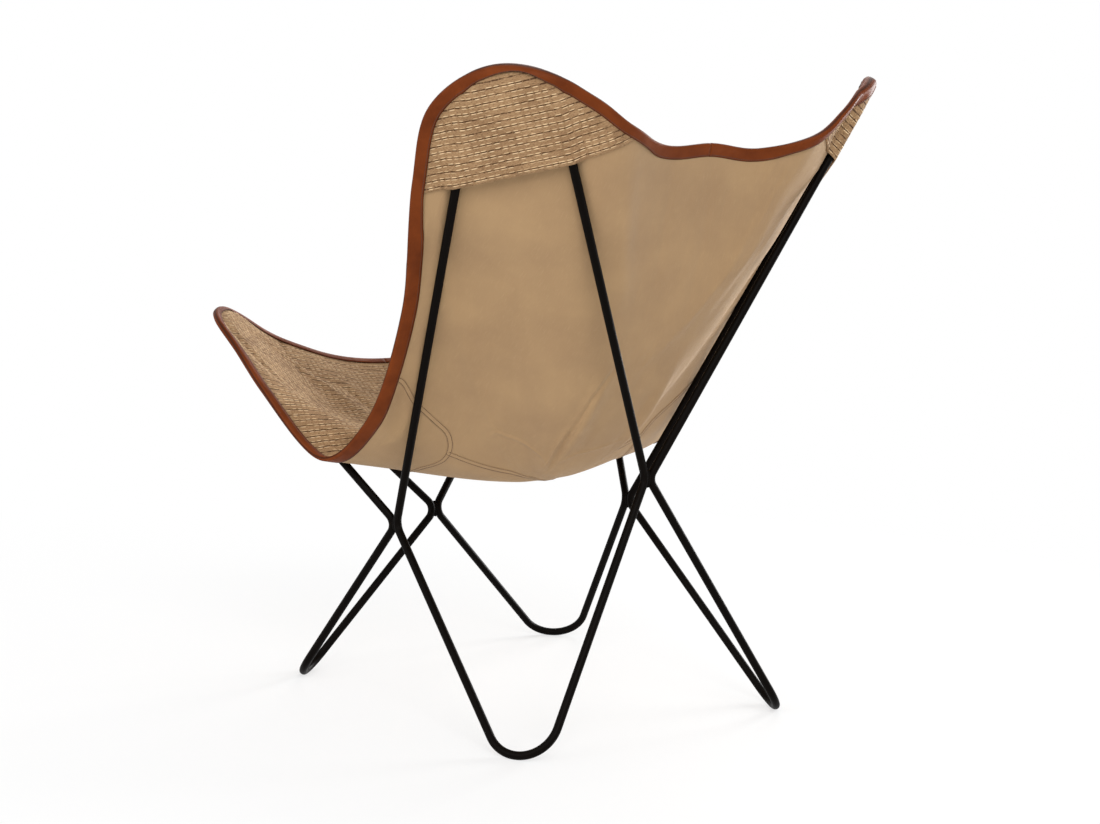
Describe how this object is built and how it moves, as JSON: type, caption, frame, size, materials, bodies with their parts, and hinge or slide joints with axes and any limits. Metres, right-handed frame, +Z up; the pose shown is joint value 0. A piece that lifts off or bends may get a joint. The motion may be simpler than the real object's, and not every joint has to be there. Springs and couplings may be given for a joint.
{
  "type": "butterfly sling chair",
  "caption": "Butterfly lounge chair: four bent rod loops welded to each other carry a one-piece woven sling in pockets at its ears, with a canvas lining and leather edge binding.",
  "frame": {"origin": "on the floor, under the middle of the chair's box", "axes": "+Z up; the sitter faces -Y, so the backrest is at +Y; +X is the sitter's left; the chair is its own mirror image across X = 0"},
  "size_m": [0.78, 0.81, 0.937],
  "materials": {
    "rod": "satin black powder coat on bent round steel rod",
    "cloth": "thick flat-woven cloth, cream dashes with brown between them, in slanting rows",
    "canvas": "plain beige cotton canvas lining with double-stitched seams",
    "leather": "chestnut brown leather strip, folded round the edge and stitched"
  },
  "bodies": {
    "root": {"rear_left_rod_loop": "rod", "rear_right_rod_loop": "rod", "front_left_rod_loop": "rod", "front_right_rod_loop": "rod", "rear_weld": "rod", "front_weld": "rod", "left_weld": "rod", "right_weld": "rod", "woven_back": "cloth", "woven_seat": "cloth", "woven_left_wing": "cloth", "woven_right_wing": "cloth", "lining_back": "canvas", "lining_seat": "canvas", "lining_left_wing": "canvas", "lining_right_wing": "canvas", "rear_left_pocket": "cloth", "rear_right_pocket": "cloth", "front_left_pocket": "cloth", "front_right_pocket": "cloth", "left_leather_binding": "leather", "right_leather_binding": "leather"}
  },
  "joints": []
}
